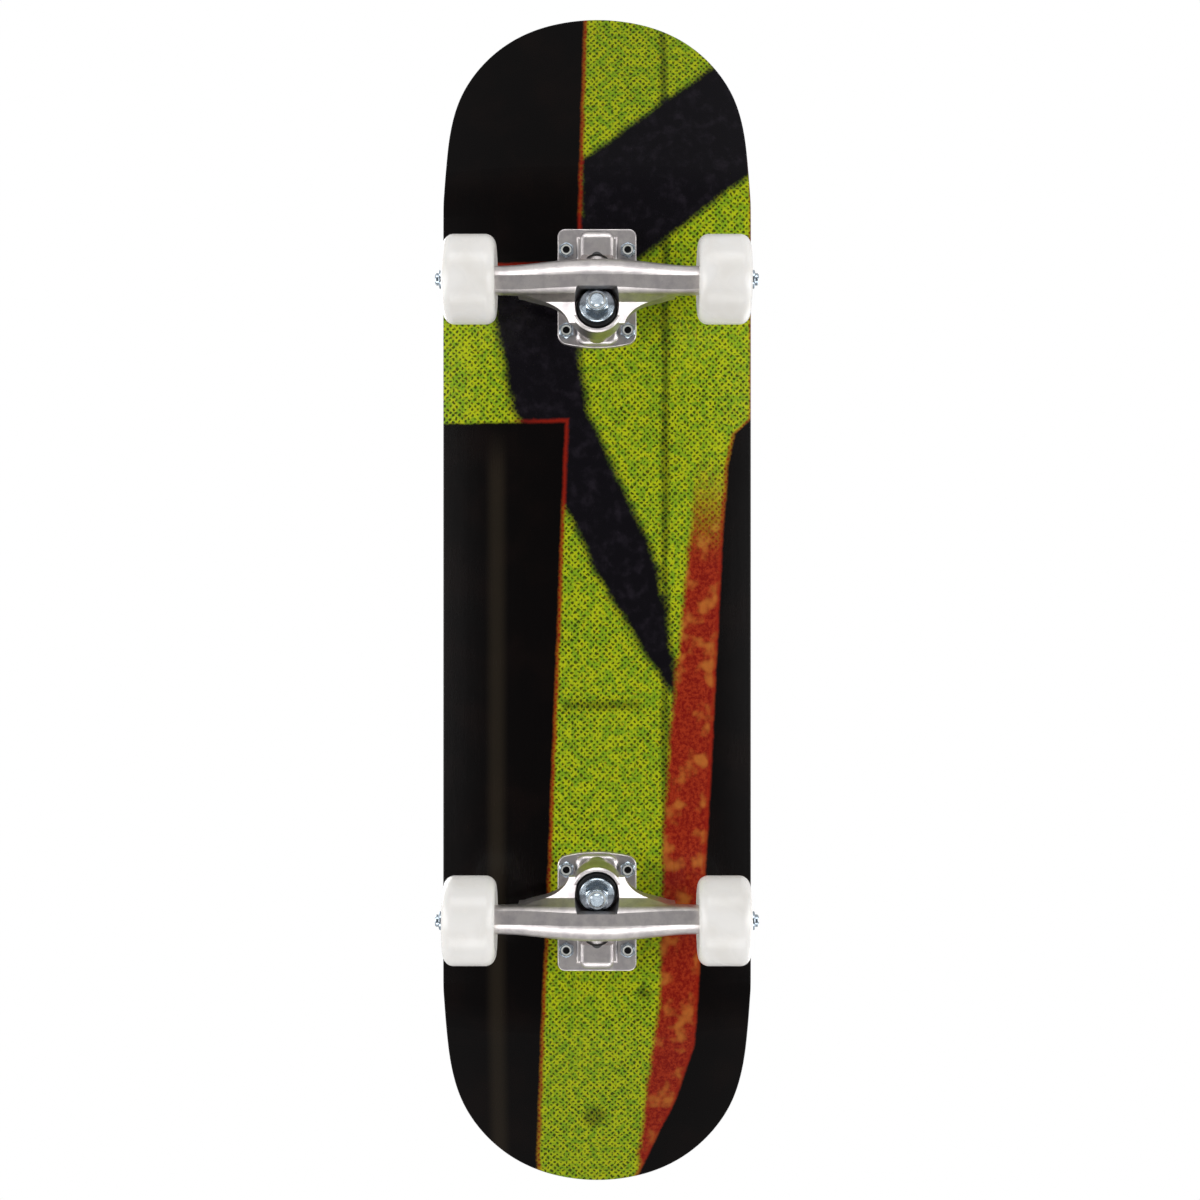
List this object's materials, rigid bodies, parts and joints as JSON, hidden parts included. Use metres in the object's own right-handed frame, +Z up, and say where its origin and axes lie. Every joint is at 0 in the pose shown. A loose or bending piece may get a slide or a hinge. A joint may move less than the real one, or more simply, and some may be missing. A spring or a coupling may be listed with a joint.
{
  "type": "skateboard",
  "caption": "Complete street skateboard: bent plywood deck with raised nose and tail, leaning trucks on rubber bushings and free-spinning urethane wheels.",
  "frame": {"origin": "on the ground, under the middle of the board's bounding box", "axes": "+X along the board toward the nose, +Z up, +Y to the left of the nose"},
  "size_m": [0.8128, 0.2096, 0.1405],
  "materials": {
    "printed_maple": "glossy printed underside",
    "dyed_maple": "dyed veneer",
    "natural_maple": "natural veneer",
    "grip_tape": "coarse black abrasive",
    "cast_aluminium": "satin, brushed",
    "black_bolt": "black oxide",
    "nylon": "milky",
    "cup_plastic": "black",
    "bushing_rubber": "black",
    "bearing_shield": "black",
    "wheel_urethane": "glossy off-white",
    "bearing_steel": "polished",
    "kingpin_steel": "zinc plated",
    "zinc_plated_steel": "bluish zinc"
  },
  "bodies": {
    "deck": {"ply_1": "printed_maple", "ply_2": "natural_maple", "ply_3": "dyed_maple", "ply_4": "natural_maple", "ply_5": "dyed_maple", "ply_6": "natural_maple", "ply_7": "natural_maple", "grip_tape": "grip_tape", "front_baseplate": "cast_aluminium", "front_mounting_bolts": "black_bolt", "front_mounting_nuts": "zinc_plated_steel", "front_locknut_inserts": "nylon", "front_pivot_cup": "cup_plastic", "front_kingpin": "kingpin_steel", "front_kingpin_nut": "zinc_plated_steel", "front_bottom_washer": "zinc_plated_steel", "front_top_washer": "zinc_plated_steel", "front_bottom_bushing": "bushing_rubber", "front_top_bushing": "bushing_rubber", "rear_baseplate": "cast_aluminium", "rear_mounting_bolts": "black_bolt", "rear_mounting_nuts": "zinc_plated_steel", "rear_locknut_inserts": "nylon", "rear_pivot_cup": "cup_plastic", "rear_kingpin": "kingpin_steel", "rear_kingpin_nut": "zinc_plated_steel", "rear_bottom_washer": "zinc_plated_steel", "rear_top_washer": "zinc_plated_steel", "rear_bottom_bushing": "bushing_rubber", "rear_top_bushing": "bushing_rubber"},
    "front_truck_hanger": {"front_hanger": "cast_aluminium", "front_axle": "zinc_plated_steel", "front_axle_nuts": "zinc_plated_steel", "front_axle_nut_inserts": "nylon", "front_speed_washers": "zinc_plated_steel", "front_bearing_inner_races": "bearing_steel", "front_bearing_spacers": "bearing_steel"},
    "rear_truck_hanger": {"rear_hanger": "cast_aluminium", "rear_axle": "zinc_plated_steel", "rear_axle_nuts": "zinc_plated_steel", "rear_axle_nut_inserts": "nylon", "rear_speed_washers": "zinc_plated_steel", "rear_bearing_inner_races": "bearing_steel", "rear_bearing_spacers": "bearing_steel"},
    "front_left_wheel_body": {"front_left_wheel": "wheel_urethane", "front_left_bearing_outer_races": "bearing_steel", "front_left_bearing_balls": "bearing_steel", "front_left_bearing_shields": "bearing_shield"},
    "front_right_wheel_body": {"front_right_wheel": "wheel_urethane", "front_right_bearing_outer_races": "bearing_steel", "front_right_bearing_balls": "bearing_steel", "front_right_bearing_shields": "bearing_shield"},
    "rear_left_wheel_body": {"rear_left_wheel": "wheel_urethane", "rear_left_bearing_outer_races": "bearing_steel", "rear_left_bearing_balls": "bearing_steel", "rear_left_bearing_shields": "bearing_shield"},
    "rear_right_wheel_body": {"rear_right_wheel": "wheel_urethane", "rear_right_bearing_outer_races": "bearing_steel", "rear_right_bearing_balls": "bearing_steel", "rear_right_bearing_shields": "bearing_shield"}
  },
  "joints": [
    {"name": "front_truck_steer", "type": "hinge", "parent": "deck", "child": "front_truck_hanger", "pos_m": [0.18968, 0, 0.04992], "axis": [0.9065, 0, 0.4221], "range_deg": [-10, 10], "stiffness_Nm_per_rad": 60, "deforming": ["front_bottom_bushing", "front_top_bushing"]},
    {"name": "rear_truck_steer", "type": "hinge", "parent": "deck", "child": "rear_truck_hanger", "pos_m": [-0.18968, 0, 0.04992], "axis": [-0.9065, 0, 0.4221], "range_deg": [-10, 10], "stiffness_Nm_per_rad": 60, "deforming": ["rear_bottom_bushing", "rear_top_bushing"]},
    {"name": "front_left_wheel_spin", "type": "hinge", "parent": "front_truck_hanger", "child": "front_left_wheel_body", "pos_m": [0.20796, 0.0824, 0.029], "axis": [0, 1, 0], "continuous": true},
    {"name": "front_right_wheel_spin", "type": "hinge", "parent": "front_truck_hanger", "child": "front_right_wheel_body", "pos_m": [0.20796, -0.0824, 0.029], "axis": [0, 1, 0], "continuous": true},
    {"name": "rear_left_wheel_spin", "type": "hinge", "parent": "rear_truck_hanger", "child": "rear_left_wheel_body", "pos_m": [-0.20796, 0.0824, 0.029], "axis": [0, 1, 0], "continuous": true},
    {"name": "rear_right_wheel_spin", "type": "hinge", "parent": "rear_truck_hanger", "child": "rear_right_wheel_body", "pos_m": [-0.20796, -0.0824, 0.029], "axis": [0, 1, 0], "continuous": true}
  ]
}
